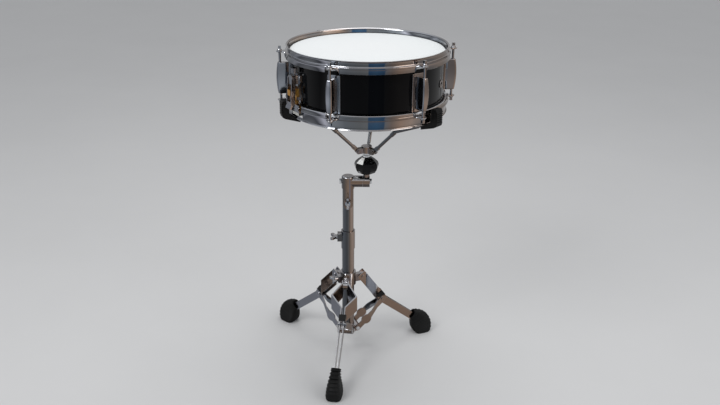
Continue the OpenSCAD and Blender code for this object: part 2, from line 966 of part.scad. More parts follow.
// The elbow turns on the upper tube and holds the tilting barrel
module tilter_elbow() {
  arm_end = column_offset + barrel_split;
  color([0.66, 0.6, 0.55])
    stand()
      difference() {
        union() {
          rotate_extrude() {
            translate([0, 465]) square([16, 27]);
            translate([0, 465]) square([11, 32]);
            translate([11, 492]) circle(5);
          }
          translate([0, 0, tilt_z]) rotate([0, 90, 0]) cylinder(r = barrel_r, h = arm_end);
          intersection() {
            translate([0, 0, 405]) cylinder(r = 16, h = 61);
            front_plate(0, 20) bar2d([0, 470], [0, 425], 24);
          }
          radial_bar(8, 8, 21, z = 434);
        }
        translate([0, 0, 400]) cylinder(r = upper_r + run, h = upper_top + 1 - 400);
        translate([-40, 0, tilt_z]) rotate([0, 90, 0]) cylinder(r = 4.1, h = 120);
        radial_bar(3.5 + run, 5, 30, z = 434);
      }
}

module elbow_wing_screw() {
  color([0.85, 0.86, 0.88])
    stand()
      translate([0, 0, 434])
        rotate([0, 90, 0]) wing_bolt(upper_r + 0.3, 21.3);
}

module tilt_bolt() {
  left = -column_offset - 16.2;
  right = 8.3;
  color("silver")
    basket()
      translate([0, 0, tilt_z])
        rotate([0, 90, 0]) {
          translate([0, 0, left - 1]) cylinder(r = 4, h = right + 4 - left);
          translate([0, 0, left - 5]) cylinder(r = 7, h = 5, $fn = 6);
          translate([0, 0, right]) cylinder(r = 7, h = 5, $fn = 6);
        }
}

// The tilting half of the barrel, with the socket of the basket's rod
module tilt_head() {
  right = 8.2;
  left = barrel_split + 0.2;
  color([0.66, 0.6, 0.55])
    basket()
      difference() {
        union() {
          translate([left, 0, tilt_z]) rotate([0, 90, 0]) cylinder(r = barrel_r, h = right - left);
          translate([0, 0, tilt_z]) cylinder(r = 7.6, h = 19);
        }
        translate([-30, 0, tilt_z]) rotate([0, 90, 0]) cylinder(r = 4 + run, h = 60);
        translate([0, 0, tilt_z + 8]) cylinder(r = basket_rod_r + gap, h = 20);
      }
}

// ---------------------------------------------------------------- basket

// The rod and its hub, slotted for three arms, with a recess for the sleeve's nose
module basket_hub() {
  top = arm_pivot_z + 10.5;
  bottom = arm_pivot_z - 5.5;
  color([0.68, 0.69, 0.72])
    basket() {
      difference() {
        union() {
          translate([0, 0, bottom]) cylinder(r = 13, h = top - bottom);
          for (a = arm_azimuths)
            at(a) side_plate(14) bar2d([8, arm_pivot_z + 1], [arm_pivot_r, arm_pivot_z], 13);
        }
        translate([0, 0, bottom - 5]) cylinder(r = 8.2, h = 12.5);
        for (a = arm_azimuths)
          at(a) {
            block(6.4, 5.4, 40, bottom - 5, top - 3);
            cross_bar(2.5 + gap, 40, arm_pivot_r, arm_pivot_z);
          }
      }
      translate([0, 0, tilt_z + 8.1]) cylinder(r = basket_rod_r, h = top - tilt_z - 9);
    }
}

module basket_hub_pins() {
  color("silver")
    basket()
      for (a = arm_azimuths)
        at(a) {
          cross_bar(2.5, 16, arm_pivot_r, arm_pivot_z);
          for (s = [-1, 1])
            translate([s * 8.1, 0, 0]) cross_bar(4, 1.8, arm_pivot_r, arm_pivot_z);
        }
}

// The large moulded nut that opens and closes the arms
module basket_nut() {
  color([0.04, 0.04, 0.04])
    basket()
      difference() {
        rotate_extrude()
          polygon([
            [basket_rod_r + run, 505], [18, 505], [24, 508], [28, 515], [30, 523], [30.5, 530],
            [29.5, 537], [24, 541], [14, 546.5], [basket_rod_r + run, 546.5]
          ]);
        for (a = [0:40:320])
          rotate(a) translate([0, -37.5, 500]) cylinder(r = 9, h = 50);
      }
}

// The sleeve above the nut, whose nose lifts the arms' tails
module basket_sleeve() {
  color([0.62, 0.63, 0.66])
    basket()
      difference() {
        union() {
          translate([0, 0, 546.8]) cylinder(r = 9.5, h = 5.2);
          translate([0, 0, 551]) cylinder(r = 7.5, h = 9.8);
        }
        translate([0, 0, 540]) cylinder(r = basket_rod_r + run, h = 30);
      }
}

arm_pivot = [arm_pivot_r, arm_pivot_z];
arm_bend = [86, 628];
arm_dir = unit(arm_bend - arm_pivot);
arm_elbow = [150, 654.5];
arm_corner = [197, 668];
arm_tip = [197, 694];

// One basket arm: a flat eye with an inner tail, a bent rod and a ferrule
module arm(i) {
  tail_r = 7.4;
  color([0.68, 0.69, 0.72])
    basket()
      at(arm_azimuths[i]) {
        difference() {
          side_plate(6) {
            bar2d(arm_pivot, arm_pivot + 17 * arm_dir, 10.5);
            polygon([
              [tail_r, arm_pivot_z - 2.5], [arm_pivot_r, arm_pivot_z - 4],
              [arm_pivot_r, arm_pivot_z + 4], [tail_r, arm_pivot_z + 1.5]
            ]);
          }
          cross_bar(2.5 + run, 20, arm_pivot_r, arm_pivot_z);
        }
        bent_rod([arm_pivot + 13 * arm_dir, arm_bend, arm_elbow], arm_rod_r);
        bent_rod([arm_elbow, arm_corner, arm_tip], grip_rod_r);
        rod(at_front(arm_bend - 15 * arm_dir), at_front(arm_bend - 3 * arm_dir), 5.4);
      }
}

module left_arm() { arm(0); }
module right_arm() { arm(1); }
module back_arm() { arm(2); }

// One rubber grip: a sleeve under the drum's edge that turns up outside it
module grip(i) {
  under = lip_z - 0.15;
  color([0.05, 0.05, 0.05])
    basket()
      at(arm_azimuths[i])
        difference() {
          side_plate(grip_w)
            polygon([
              [165, 653], [200, 663.5], [206, 667], [208, 672.5], [208, 702], [205, 706],
              [grip_r + 2.5, 706], [grip_r, 703], [grip_r, under], [178, under], [165, 664.5]
            ]);
          bent_rod([arm_elbow, arm_corner, arm_tip], grip_rod_r + run);
        }
}

module left_grip() { grip(0); }
module right_grip() { grip(1); }
module back_grip() { grip(2); }

// ---------------------------------------------------------------- selection
shell();
vent_grommet();
batter_head();
batter_flesh_hoop();
batter_hoop();
resonant_head();
resonant_flesh_hoop();
snare_side_hoop();
lug_casings();
lug_swivel_nuts();
lug_screws();
tension_rods();
rod_washers();
throwoff_frame();
throwoff_lever();
throwoff_slide();
throwoff_jaw();
tension_knob();
butt_plate();
butt_jaw();
bracket_screws();
snare_wires();
snare_end_plates();
snare_straps();
lower_tube();
base_hub();
base_hub_pins();
height_clamp();
height_bushing();
height_wing_bolt();
leg_collar();
leg_collar_wing_bolt();
front_leg();
right_leg();
left_leg();
front_foot();
right_foot();
left_foot();
front_knee_cap();
right_knee_cap();
left_knee_cap();
front_brace();
right_brace();
left_brace();
upper_tube();
tilter_elbow();
elbow_wing_screw();
tilt_bolt();
tilt_head();
basket_hub();
basket_hub_pins();
basket_nut();
basket_sleeve();
left_arm();
right_arm();
back_arm();
left_grip();
right_grip();
back_grip();
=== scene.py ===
import math

import bmesh
import bpy
from mathutils import Matrix, Vector


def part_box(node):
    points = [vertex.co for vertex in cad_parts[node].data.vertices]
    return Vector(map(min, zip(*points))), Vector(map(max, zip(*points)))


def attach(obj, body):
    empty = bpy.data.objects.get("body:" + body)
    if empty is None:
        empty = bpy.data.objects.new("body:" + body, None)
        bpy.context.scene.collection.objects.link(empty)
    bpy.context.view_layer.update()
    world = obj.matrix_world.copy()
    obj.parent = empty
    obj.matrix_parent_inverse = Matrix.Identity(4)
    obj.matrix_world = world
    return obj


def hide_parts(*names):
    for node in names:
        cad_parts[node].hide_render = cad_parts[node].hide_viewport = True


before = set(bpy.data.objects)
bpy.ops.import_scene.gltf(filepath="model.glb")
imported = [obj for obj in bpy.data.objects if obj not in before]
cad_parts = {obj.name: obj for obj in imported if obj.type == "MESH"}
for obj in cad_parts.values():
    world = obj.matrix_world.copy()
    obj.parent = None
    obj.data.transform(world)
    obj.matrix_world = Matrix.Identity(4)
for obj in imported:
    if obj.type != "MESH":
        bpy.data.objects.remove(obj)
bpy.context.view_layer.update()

MM = 0.001

# ------------------------------------------------------------------ sizes from the frame

# Lengths are in mm and angles in degrees unless a comment says otherwise. Azimuth 0 is the front.
SHELL_LO, SHELL_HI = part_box("shell")
SHELL_R = (SHELL_HI.x - SHELL_LO.x) / 2 / MM
# Height of the batter hoop's rim above the playing surface
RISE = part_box("batter_hoop")[1].z / MM
# Distance between the two heads, with the lower hoop's rim as far beyond its head as the upper one's
DEPTH = -(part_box("snare_side_hoop")[0].z / MM) - RISE
FLOOR_Z = min(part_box(n)[0].z for n in ("front_foot", "right_foot", "left_foot"))
TUBE_LO, TUBE_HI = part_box("lower_tube")
COLUMN = Vector(((TUBE_LO.x + TUBE_HI.x) / 2, (TUBE_LO.y + TUBE_HI.y) / 2, 0))
LUG_AZ = [-23 + 60 * i for i in range(6)]
THROW_AZ = -58
LEG_AZ = {"front": -7.6, "right": 112.4, "left": 232.4}
ARM_AZ = {"left": -70, "right": 50, "back": 170}
# Tension rods stand this far outside the shell
ROD_REACH = 22.2
# How much deeper the lower head's collar is than the upper head's
SNARE_COLLAR = (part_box("resonant_flesh_hoop")[0].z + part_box("batter_flesh_hoop")[1].z) / MM + DEPTH


# ------------------------------------------------------------------ material helpers

def add(nt, kind, inputs=None, **attrs):
    """A new shader node, with its attributes and inputs set or linked."""
    n = nt.nodes.new(kind)
    for key, value in attrs.items():
        setattr(n, key, value)
    for key, value in (inputs or {}).items():
        socket = n.inputs[key]
        if isinstance(value, bpy.types.NodeSocket):
            nt.links.new(value, socket)
        else:
            socket.default_value = value
    return n


def ramp(nt, fac, stops):
    """A colour ramp with (position, colour) stops."""
    n = add(nt, "ShaderNodeValToRGB", {"Fac": fac})
    elements = n.color_ramp.elements
    while len(elements) < len(stops):
        elements.new(0.5)
    for element, (position, colour) in zip(elements, stops):
        element.position = position
        element.color = (*colour, 1)
    return n.outputs["Color"]


def remap(nt, value, a, b, c=0.0, d=1.0, smooth=False):
    """The value carried from the range a to b into the range c to d, and held at its ends."""
    kind = "SMOOTHSTEP" if smooth else "LINEAR"
    n = add(nt, "ShaderNodeMapRange", {0: value, 1: a, 2: b, 3: c, 4: d}, interpolation_type=kind)
    return n.outputs[0]


def mix(nt, fac, a, b, blend="MIX"):
    """A colour between a and b."""
    n = add(nt, "ShaderNodeMix", data_type="RGBA", blend_type=blend)
    for socket, value in ((n.inputs[0], fac), (n.inputs[6], a), (n.inputs[7], b)):
        if isinstance(value, bpy.types.NodeSocket):
            nt.links.new(value, socket)
        elif isinstance(value, (int, float)):
            socket.default_value = value
        else:
            socket.default_value = (*value, 1)
    return n.outputs[2]


def maths(nt, op, a, b=0.0):
    return add(nt, "ShaderNodeMath", {0: a, 1: b}, operation=op).outputs[0]


def noise(nt, scale, detail=4.0, rough=0.55, vector=None, distortion=0.0):
    inputs = {"Scale": scale, "Detail": detail, "Roughness": rough, "Distortion": distortion}
    if vector is not None:
        inputs["Vector"] = vector
    return add(nt, "ShaderNodeTexNoise", inputs).outputs["Fac"]


def object_coords(nt, scale=(1, 1, 1)):
    """A place on the object in metres, stretched by a scale."""
    tex = add(nt, "ShaderNodeTexCoord")
    mapped = add(nt, "ShaderNodeMapping", {"Vector": tex.outputs["Object"], "Scale": scale})
    return mapped.outputs["Vector"]


def start(name):
    """A new material with its node tree and its surface node."""
    m = bpy.data.materials.new(name)
    m.use_nodes = True
    nt = m.node_tree
    return m, nt, nt.nodes["Principled BSDF"]


def bump(nt, bsdf, height, strength, distance):
    """Fine relief from a height, with its distance in metres."""
    b = add(nt, "ShaderNodeBump", {"Height": height, "Strength": strength, "Distance": distance})
    nt.links.new(b.outputs["Normal"], bsdf.inputs["Normal"])


def reflection(nt):
    """The direction a surface reflects towards, as its x, y and z."""
    tex = add(nt, "ShaderNodeTexCoord")
    return add(nt, "ShaderNodeSeparateXYZ", {0: tex.outputs["Reflection"]}).outputs


def edge_mask(nt, radius):
    """Bright where the surface turns sharply within a radius in metres, for wear along edges."""
    soft = add(nt, "ShaderNodeBevel", {"Radius": radius}, samples=4)
    geo = add(nt, "ShaderNodeNewGeometry")
    dot = add(nt, "ShaderNodeVectorMath", {0: soft.outputs[0], 1: geo.outputs["Normal"]},
              operation="DOT_PRODUCT")
    return remap(nt, dot.outputs["Value"], 0.98, 0.80)


# Painted reflection of the room in front of polished metal, from left to right, painted into its colour:
# place, then colour
HOOP_PAINTED_REFLECTION = [
    (0.00, (0.24, 0.25, 0.27)), (0.04, (0.07, 0.075, 0.09)), (0.08, (0.55, 0.56, 0.64)),
    (0.13, (0.25, 0.27, 0.30)), (0.26, (0.15, 0.165, 0.185)), (0.42, (0.15, 0.16, 0.17)),
    (0.508, (0.17, 0.18, 0.19)), (0.518, (0.035, 0.085, 0.165)), (0.61, (0.045, 0.105, 0.19)),
    (0.692, (0.035, 0.08, 0.15)), (0.705, (0.16, 0.165, 0.18)), (0.77, (0.20, 0.155, 0.135)),
    (0.85, (0.34, 0.235, 0.18)), (0.93, (0.38, 0.29, 0.24)), (1.00, (0.20, 0.19, 0.19)),
]
# Painted reflection for the other chrome parts and the rails
PART_PAINTED_REFLECTION = [
    (0.00, (0.24, 0.26, 0.29)), (0.05, (0.08, 0.085, 0.10)), (0.10, (0.50, 0.52, 0.60)),
    (0.17, (0.26, 0.29, 0.33)), (0.30, (0.13, 0.15, 0.18)), (0.45, (0.20, 0.23, 0.27)),
    (0.54, (0.42, 0.45, 0.50)), (0.60, (0.17, 0.19, 0.22)), (0.70, (0.24, 0.185, 0.155)),
    (0.80, (0.36, 0.24, 0.175)), (0.90, (0.40, 0.285, 0.22)), (1.00, (0.30, 0.235, 0.20)),
]
# Painted reflection for the stand's tubes and the basket arms, dark with a brown side
TUBE_PAINTED_REFLECTION = [
    (0.00, (0.11, 0.12, 0.135)), (0.10, (0.09, 0.10, 0.115)), (0.30, (0.06, 0.065, 0.072)),
    (0.50, (0.08, 0.085, 0.09)), (0.55, (0.13, 0.13, 0.13)), (0.66, (0.11, 0.095, 0.085)),
    (0.80, (0.24, 0.18, 0.145)), (0.95, (0.38, 0.29, 0.24)), (1.00, (0.42, 0.34, 0.29)),
]
# Painted reflection for the plated castings, mostly brown
CAST_PAINTED_REFLECTION = [
    (0.00, (0.09, 0.085, 0.085)), (0.22, (0.165, 0.125, 0.10)), (0.45, (0.25, 0.175, 0.13)),
    (0.60, (0.28, 0.19, 0.135)), (0.70, (0.20, 0.18, 0.20)), (0.78, (0.19, 0.165, 0.18)),
    (0.84, (0.27, 0.18, 0.13)), (1.00, (0.15, 0.105, 0.08)),
]


def painted_reflection_colour(nt, room):
    """A painted reflection: the colour of the room in the direction a surface reflects, painted into a
    surface's colour.
    """
    x, y, z = reflection(nt)
    across = ramp(nt, remap(nt, x, -1, 1), room)
    # Painted reflections of what lies above, below and behind the surface
    over = mix(nt, remap(nt, x, -0.8, 0.8), (0.62, 0.65, 0.70), (0.58, 0.52, 0.49))
    under = mix(nt, remap(nt, x, -0.6, 0.6), (0.07, 0.075, 0.085), (0.14, 0.10, 0.08))
    away = mix(nt, remap(nt, x, -0.7, 0.7), (0.17, 0.185, 0.21), (0.29, 0.235, 0.20))
    c = mix(nt, remap(nt, y, 0.1, 0.75, smooth=True), across, away)
    c = mix(nt, remap(nt, z, 0.30, 0.70, smooth=True), c, over)
    return mix(nt, remap(nt, z, -0.35, -0.8, smooth=True), c, under)


def polished(name, room, rough, gain=1.0, smudge=0.12, wear=0.0):
    """Bright plated metal with a painted reflection as its colour, smudges and tiny waves."""
    m, nt, bsdf = start(name)
    co = object_coords(nt)
    # The base colour is a painted reflection of the room, so it changes with the view
    c = painted_reflection_colour(nt, room)
    c = mix(nt, 1.0, c, (gain, gain, gain), "MULTIPLY")
    marks = noise(nt, 38, 5, 0.6, co, 0.4)
    c = mix(nt, remap(nt, marks, 0.35, 0.75, 0, smudge), c, (0.16, 0.155, 0.15))
    if wear:
        c = mix(nt, maths(nt, "MULTIPLY", edge_mask(nt, 0.0008), wear), c, (0.70, 0.70, 0.71))
    nt.links.new(c, bsdf.inputs["Base Color"])
    bsdf.inputs["Metallic"].default_value = 1
    fine = noise(nt, 420, 3, 0.5, co)
    r = maths(nt, "ADD", remap(nt, marks, 0.3, 0.8, rough * 0.6, rough * 1.9),
              remap(nt, fine, 0.3, 0.7, -0.02, 0.03))
    nt.links.new(r, bsdf.inputs["Roughness"])
    bump(nt, bsdf, noise(nt, 9, 2, 0.5, co), 0.05, 0.004)
    return m


def gloss_black():
    """Deep gloss wrap with faint dust and a dull painted reflection of the room tinting its sheen."""
    m, nt, bsdf = start("shell_gloss_black")
    co = object_coords(nt)
    dust = noise(nt, 22, 6, 0.65, co, 0.6)
    c = mix(nt, remap(nt, dust, 0.55, 0.85, 0, 0.35), (0.0016, 0.0017, 0.0021), (0.006, 0.006, 0.0065))
    nt.links.new(c, bsdf.inputs["Base Color"])
    nt.links.new(remap(nt, dust, 0.3, 0.8, 0.07, 0.17), bsdf.inputs["Roughness"])
    # Painted reflection: a dimmed, greyed copy of the hoops' painted reflection sets the sheen's tint
    dull = [(place, tuple(0.35 * v + 0.65 * sum(c) / 3 for v in c)) for place, c in HOOP_PAINTED_REFLECTION]
    nt.links.new(painted_reflection_colour(nt, dull), bsdf.inputs["Specular Tint"])
    bsdf.inputs["Specular IOR Level"].default_value = 0.42
    bump(nt, bsdf, noise(nt, 160, 2, 0.4, co), 0.04, 0.0006)
    return m


def coated_film():
    """A white sprayed drum head: a fine grain, a faint worn middle and a soft rim."""
    m, nt, bsdf = start("head_coated_white")
    co = object_coords(nt)
    geo = add(nt, "ShaderNodeNewGeometry")
    away = add(nt, "ShaderNodeVectorMath", {0: geo.outputs["Position"], 1: Vector((0, 0, 0))},
               operation="DISTANCE").outputs["Value"]
    cloud = noise(nt, 7, 5, 0.6, co, 0.5)
    c = mix(nt, remap(nt, away, 0.05, 0.17), (0.81, 0.825, 0.825), (0.78, 0.805, 0.805))
    worn = maths(nt, "MULTIPLY", remap(nt, away, 0.075, 0.02, 0, 1, True), remap(nt, cloud, 0.4, 0.7))
    c = mix(nt, maths(nt, "MULTIPLY", worn, 0.10), c, (0.66, 0.68, 0.68))
    c = mix(nt, remap(nt, cloud, 0.45, 0.8, 0, 0.06), c, (0.70, 0.73, 0.74))
    nt.links.new(c, bsdf.inputs["Base Color"])
    nt.links.new(remap(nt, cloud, 0.3, 0.8, 0.48, 0.62), bsdf.inputs["Roughness"])
    bsdf.inputs["Subsurface Weight"].default_value = 0.08
    bsdf.inputs["Subsurface Radius"].default_value = (0.002, 0.002, 0.002)
    bump(nt, bsdf, noise(nt, 1400, 3, 0.6, co), 0.18, 0.0003)
    return m


def clear_film():
    """The thin hazy film of the lower head."""
    m, nt, bsdf = start("head_clear_film")
    co = object_coords(nt)
    haze = noise(nt, 10, 4, 0.6, co)
    c = mix(nt, haze, (0.80, 0.83, 0.85), (0.88, 0.90, 0.91))
    nt.links.new(c, bsdf.inputs["Base Color"])
    nt.links.new(remap(nt, haze, 0.3, 0.7, 0.12, 0.28), bsdf.inputs["Roughness"])
    bsdf.inputs["Transmission Weight"].default_value = 0.55
    bsdf.inputs["IOR"].default_value = 1.2
    bump(nt, bsdf, noise(nt, 60, 2, 0.5, co), 0.05, 0.0008)
    return m


def moulded(name, colour, dusty, rough, grain=700, depth=0.0004, dust=0.25, level=0.5):
    """Rubber or plastic with a moulded grain and dust in patches."""
    m, nt, bsdf = start(name)
    co = object_coords(nt)
    patches = noise(nt, 26, 6, 0.65, co, 0.4)
    c = mix(nt, remap(nt, patches, 0.45, 0.85, 0, dust), colour, dusty)
    c = mix(nt, maths(nt, "MULTIPLY", edge_mask(nt, 0.0012), 0.25), c, dusty)
    nt.links.new(c, bsdf.inputs["Base Color"])
    nt.links.new(remap(nt, patches, 0.3, 0.8, rough * 0.85, min(1, rough * 1.25)), bsdf.inputs["Roughness"])
    bsdf.inputs["Specular IOR Level"].default_value = level
    bump(nt, bsdf, noise(nt, grain, 3, 0.6, co), 0.25, depth)
    return m


def gloss_plastic():
    """Polished black plastic with a painted highlight on the facets turned up and left, which also glows
    though it is no lamp.
    """
    m, nt, bsdf = start("nut_plastic")
    co = object_coords(nt)
    patches = noise(nt, 26, 6, 0.65, co, 0.4)
    x, _, z = reflection(nt)
    # Painted highlight: white where a facet reflects up and to the left
    painted_highlight = maths(nt, "MULTIPLY", remap(nt, x, -0.42, -0.58, smooth=True),
                   remap(nt, z, 0.30, 0.48, smooth=True))
    c = mix(nt, remap(nt, patches, 0.45, 0.85), (0.012, 0.012, 0.013), (0.030, 0.029, 0.028))
    c = mix(nt, maths(nt, "MULTIPLY", edge_mask(nt, 0.0012), 0.3), c, (0.10, 0.10, 0.10))
    c = mix(nt, painted_highlight, c, (1.0, 1.0, 0.98))
    nt.links.new(c, bsdf.inputs["Base Color"])
    bsdf.inputs["Metallic"].default_value = 1
    # Painted glow: the painted highlight also emits light
    bsdf.inputs["Emission Color"].default_value = (1, 1, 0.98, 1)
    nt.links.new(maths(nt, "MULTIPLY", painted_highlight, 0.45), bsdf.inputs["Emission Strength"])
    nt.links.new(remap(nt, patches, 0.3, 0.8, 0.07, 0.16), bsdf.inputs["Roughness"])
    bump(nt, bsdf, noise(nt, 260, 3, 0.6, co), 0.2, 0.0001)
    return m


def dull_metal(name, a, b, rough, stretch=(1, 1, 1), scale=60, strength=0.1):
    """Zinc plate, brass or drawn wire: brushed noise and stained patches."""
    m, nt, bsdf = start(name)
    co = object_coords(nt, stretch)
    grain = noise(nt, scale, 5, 0.6, co)
    stain = noise(nt, 30, 4, 0.6, object_coords(nt), 0.5)
    c = mix(nt, grain, a, b)
    c = mix(nt, remap(nt, stain, 0.55, 0.85, 0, 0.35), c, tuple(0.45 * v for v in a))
    nt.links.new(c, bsdf.inputs["Base Color"])
    bsdf.inputs["Metallic"].default_value = 1
    nt.links.new(remap(nt, grain, 0.3, 0.7, rough * 0.8, rough * 1.3), bsdf.inputs["Roughness"])
    bump(nt, bsdf, grain, strength, 0.0005)
    return m


MAT = {
    # The hoops, chrome, tubes, rails, castings and arms take their base colour from painted reflections
    "hoop": polished("hoop_chrome", HOOP_PAINTED_REFLECTION, 0.07),
    "chrome": polished("part_chrome", PART_PAINTED_REFLECTION, 0.09, wear=0.5),
    "tube": polished("tube_chrome", TUBE_PAINTED_REFLECTION, 0.10, smudge=0.06),
    "rail": polished("rail_chrome", PART_PAINTED_REFLECTION, 0.14, gain=0.9, wear=0.7),
    "cast": polished("cast_plated", CAST_PAINTED_REFLECTION, 0.18, smudge=0.25, wear=0.35),
    "arm": polished("arm_chrome", TUBE_PAINTED_REFLECTION, 0.14, wear=0.15),
    "shell": gloss_black(),
    "head": coated_film(),
    "clear": clear_film(),
    "rubber": moulded("foot_rubber", (0.0018, 0.0018, 0.0018), (0.014, 0.0135, 0.013), 0.55, level=0.22),
    "plastic": gloss_plastic(),
    "cap": moulded("cap_plastic", (0.003, 0.003, 0.003), (0.015, 0.015, 0.014), 0.4, level=0.25),
    "nylon": moulded("bushing_nylon", (0.03, 0.03, 0.032), (0.10, 0.10, 0.10), 0.45),
    "strap": moulded("strap_film", (0.78, 0.78, 0.74), (0.60, 0.58, 0.53), 0.35, grain=300),
    "zinc": dull_metal("zinc_plate", (0.55, 0.56, 0.58), (0.68, 0.69, 0.70), 0.28),
    "flesh": dull_metal("flesh_hoop_alloy", (0.50, 0.51, 0.53), (0.62, 0.63, 0.64), 0.32, (1, 1, 20)),
    "brass": dull_metal("amber_brass", (0.55, 0.27, 0.05), (0.72, 0.38, 0.09), 0.30),
    "wire": dull_metal("snare_wire", (0.60, 0.61, 0.62), (0.74, 0.74, 0.75), 0.25),
}

# Each CAD node's material
NODE_MAT = {
    "shell": "shell", "vent_grommet": "chrome", "batter_head": "head", "resonant_head": "clear",
    "batter_flesh_hoop": "flesh", "resonant_flesh_hoop": "flesh",
    "batter_hoop": "hoop", "snare_side_hoop": "hoop", "lug_casings": "chrome",
    "lug_swivel_nuts": "brass", "lug_screws": "zinc", "tension_rods": "chrome",
    "rod_washers": "zinc", "throwoff_frame": "chrome", "throwoff_lever": "chrome",
    "throwoff_slide": "brass", "throwoff_jaw": "chrome", "tension_knob": "chrome",
    "butt_plate": "chrome", "butt_jaw": "chrome", "bracket_screws": "zinc",
    "snare_wires": "wire", "snare_end_plates": "zinc", "snare_straps": "strap",
    "lower_tube": "tube", "upper_tube": "tube", "base_hub": "cast", "base_hub_pins": "zinc",
    "height_clamp": "tube", "height_bushing": "nylon", "height_wing_bolt": "chrome",
    "leg_collar": "cast", "leg_collar_wing_bolt": "chrome",
    "front_leg": "rail", "right_leg": "rail", "left_leg": "rail",
    "front_foot": "rubber", "right_foot": "rubber", "left_foot": "rubber",
    "front_knee_cap": "cap", "right_knee_cap": "cap", "left_knee_cap": "cap",
    "front_brace": "rail", "right_brace": "rail", "left_brace": "rail",
    "tilter_elbow": "cast", "elbow_wing_screw": "chrome", "tilt_bolt": "zinc", "tilt_head": "cast",
    "basket_hub": "cast", "basket_hub_pins": "cast", "basket_nut": "plastic",
    "basket_sleeve": "zinc", "left_arm": "arm", "right_arm": "arm", "back_arm": "arm",
    "left_grip": "rubber", "right_grip": "rubber", "back_grip": "rubber",
}
# Width of the rounding on the sharp edges of CAD nodes that show
BEVEL_MM = {
    "throwoff_frame": 0.8, "throwoff_lever": 0.8, "throwoff_slide": 0.5,
    "throwoff_jaw": 0.4, "tension_knob": 0.5, "butt_plate": 0.6, "butt_jaw": 0.4,
    "height_clamp": 0.9, "leg_collar": 1.2, "height_wing_bolt": 1.2, "leg_collar_wing_bolt": 1.2,
    "elbow_wing_screw": 1.2, "tilter_elbow": 1.2, "tilt_head": 0.8, "tilt_bolt": 0.7,
    "base_hub": 1.0, "basket_hub": 0.7, "basket_sleeve": 0.5,
    "front_leg": 0.35, "right_leg": 0.35, "left_leg": 0.35, "front_brace": 0.35,
    "right_brace": 0.35, "left_brace": 0.35, "front_knee_cap": 0.8, "right_knee_cap": 0.8,
    "left_knee_cap": 0.8,
    "tension_rods": 0.35, "vent_grommet": 0.3, "left_arm": 0.4, "right_arm": 0.4, "back_arm": 0.4,
}


def soften(obj, width_mm):
    """Welds a CAD mesh's split edges, rounds its sharp ones and evens the shading."""
    weld = obj.modifiers.new("weld", "WELD")
    weld.merge_threshold = 1e-6
    if width_mm:
        edges = obj.modifiers.new("edges", "BEVEL")
        edges.limit_method = "ANGLE"
        edges.angle_limit = math.radians(32)
        edges.width = width_mm * MM
        edges.segments = 2
        edges.use_clamp_overlap = True
    even = obj.modifiers.new("even", "WEIGHTED_NORMAL")
    even.keep_sharp = False
    even.weight = 50


def shade_smooth(mesh):
    for polygon in mesh.polygons:
        polygon.use_smooth = True


for node_name, node_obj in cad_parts.items():
    node_obj.data.materials.clear()
    node_obj.data.materials.append(MAT[NODE_MAT[node_name]])
    soften(node_obj, BEVEL_MM.get(node_name, 0.0))
    shade_smooth(node_obj.data)


# ------------------------------------------------------------------ mesh helpers

def at(azimuth, r, x, z, centre=Vector((0, 0, 0))):
    """A point at radius r, sideways x and height z in the plane of an azimuth about a centre."""
    a = math.radians(azimuth)
    return Vector((centre.x + (r * math.sin(a) + x * math.cos(a)) * MM,
                   centre.y + (-r * math.cos(a) + x * math.sin(a)) * MM,
                   centre.z + z * MM))


def place(name, mesh, material, body, slot, node):
    """Puts a mesh in the scene as a piece that rides on a body and stands for a CAD node."""
    mesh.materials.append(material)
    obj = bpy.data.objects.new(name, mesh)
    bpy.context.scene.collection.objects.link(obj)
    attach(obj, body)
    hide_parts(node)
    return obj


def make(name, shape, material, body, slot, node, smooth):
    """A piece from a shape, with edges sharper than an angle left sharp."""
    mesh = bpy.data.meshes.new(name)
    mesh.from_pydata([tuple(v) for v in shape.verts], [], shape.faces)
    bm = bmesh.new()
    bm.from_mesh(mesh)
    bmesh.ops.remove_doubles(bm, verts=bm.verts, dist=1e-7)
    bmesh.ops.recalc_face_normals(bm, faces=bm.faces)
    bm.to_mesh(mesh)
    bm.free()
    shade_smooth(mesh)
    mesh.set_sharp_from_angle(angle=math.radians(smooth))
    place(name, mesh, material, body, slot, node)


class Shape:
    """Collects the vertices and faces of one piece."""

    def __init__(self):
        self.verts = []
        self.faces = []

    def loft(self, rings, closed=False, caps=True):
        """Joins rings of equal length; closed joins the last to the first."""
        n = len(rings[0])
        base = len(self.verts)
        for ring in rings:
            self.verts.extend(ring)
        count = len(rings)
        for i in range(count if closed else count - 1):
            a = base + i * n
            b = base + ((i + 1) % count) * n
            for j in range(n):
                k = (j + 1) % n
                self.faces.append((a + j, a + k, b + k, b + j))
        if caps and not closed:
            self.faces.append(tuple(base + j for j in reversed(range(n))))
            self.faces.append(tuple(base + (count - 1) * n + j for j in range(n)))


def smoothstep(a, b, v):
    t = min(1.0, max(0.0, (v - a) / (b - a)))
    return t * t * (3 - 2 * t)


def lerp(a, b, t):
    return a + (b - a) * t


def nearest(azimuth, others):
    """The smallest turn from an azimuth to any of the others."""
    return min((abs(((azimuth - a + 180) % 360) - 180) for a in others), default=180)


# ------------------------------------------------------------------ hoops

# Middle line of the pressed section, from its rim down, as (distance beyond the shell, height)
SECTION = [
    (7.6, RISE - 1.1), (6.0, RISE - 1.3), (4.9, RISE - 2.6), (4.5, RISE - 4.8), (4.5, 4.2),
    (4.5, 0.6), (4.9, -1.5), (6.2, -2.8), (8.4, -3.2), (10.3, -3.5), (10.5, -4.6), (9.7, -6.2),
    (9.5, -8.0), (9.5, -11.0), (9.5, -13.8), (9.7, -15.9),
]
FIRST_SHELF_POINT = 5
FIRST_EAR_POINT = 9
FIRST_SKIRT_POINT = 11
# Share of the skirt that the hoop with the deeper collar goes without
SKIRT_SHORTER = 0.31
SHEET = 2.1
